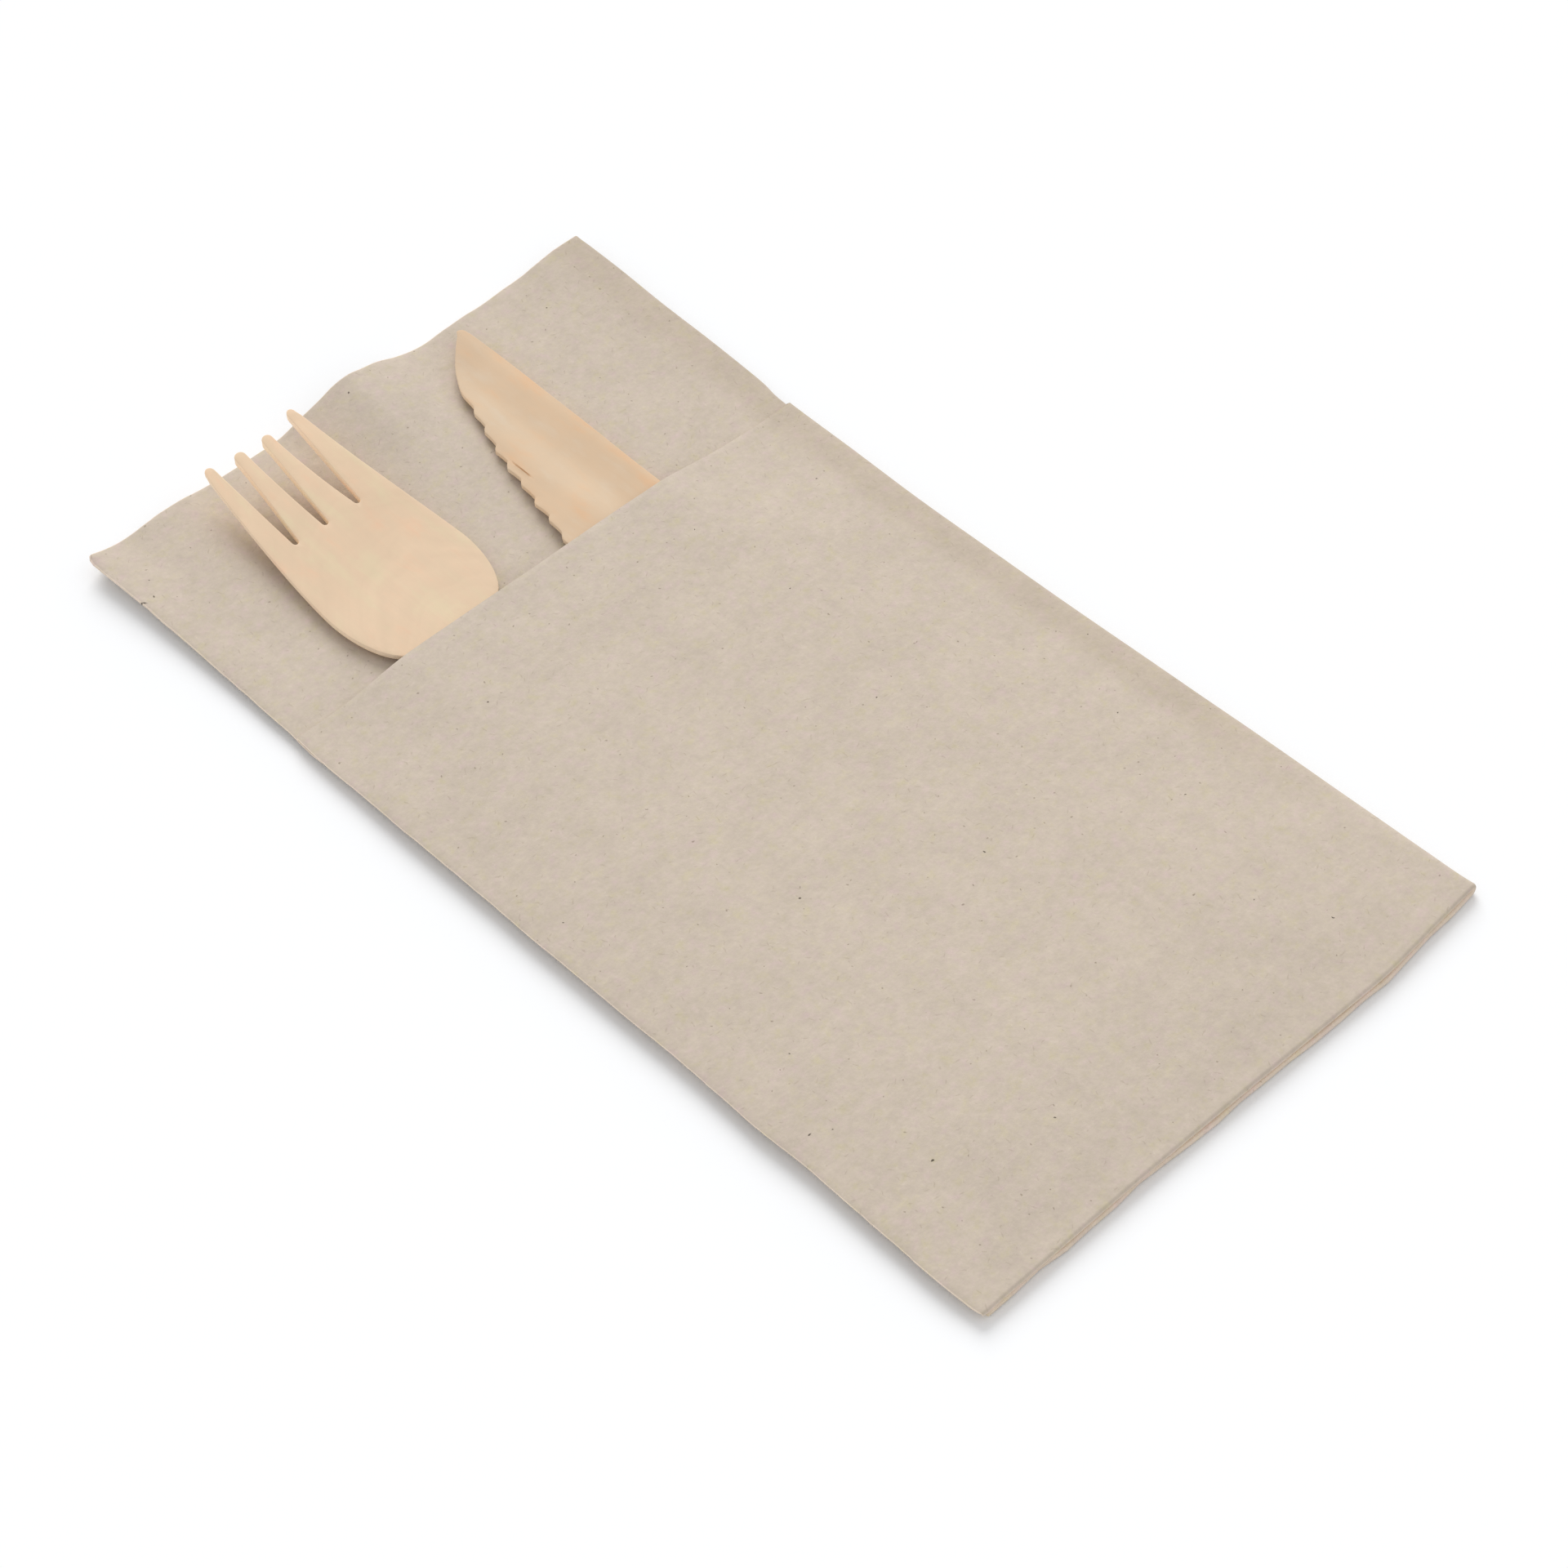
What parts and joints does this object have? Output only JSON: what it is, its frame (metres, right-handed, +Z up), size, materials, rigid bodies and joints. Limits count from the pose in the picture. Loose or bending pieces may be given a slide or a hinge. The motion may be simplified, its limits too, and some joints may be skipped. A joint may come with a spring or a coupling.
{
  "type": "wrapped cutlery set",
  "caption": "Folded paper napkin whose front pocket holds a wooden fork and a serrated wooden knife, lying flat with the fork's head and the knife's blade showing above the pocket's mouth.",
  "frame": {"origin": "under the middle of the folded napkin, on the table that it lies on", "axes": "+X across the napkin from the fork's side to the knife's side, +Y along the napkin from its near fold to the tine tips, +Z up"},
  "size_m": [0.101, 0.1898, 0.0079],
  "materials": {
    "napkin": "matt, unbleached recycled tissue with fine embossing and dark specks",
    "fork": "bare pressed birch veneer, satin",
    "knife": "bare pressed birch veneer, satin"
  },
  "bodies": {
    "root": {"napkin": "napkin", "fork": "fork", "knife": "knife"}
  },
  "joints": []
}
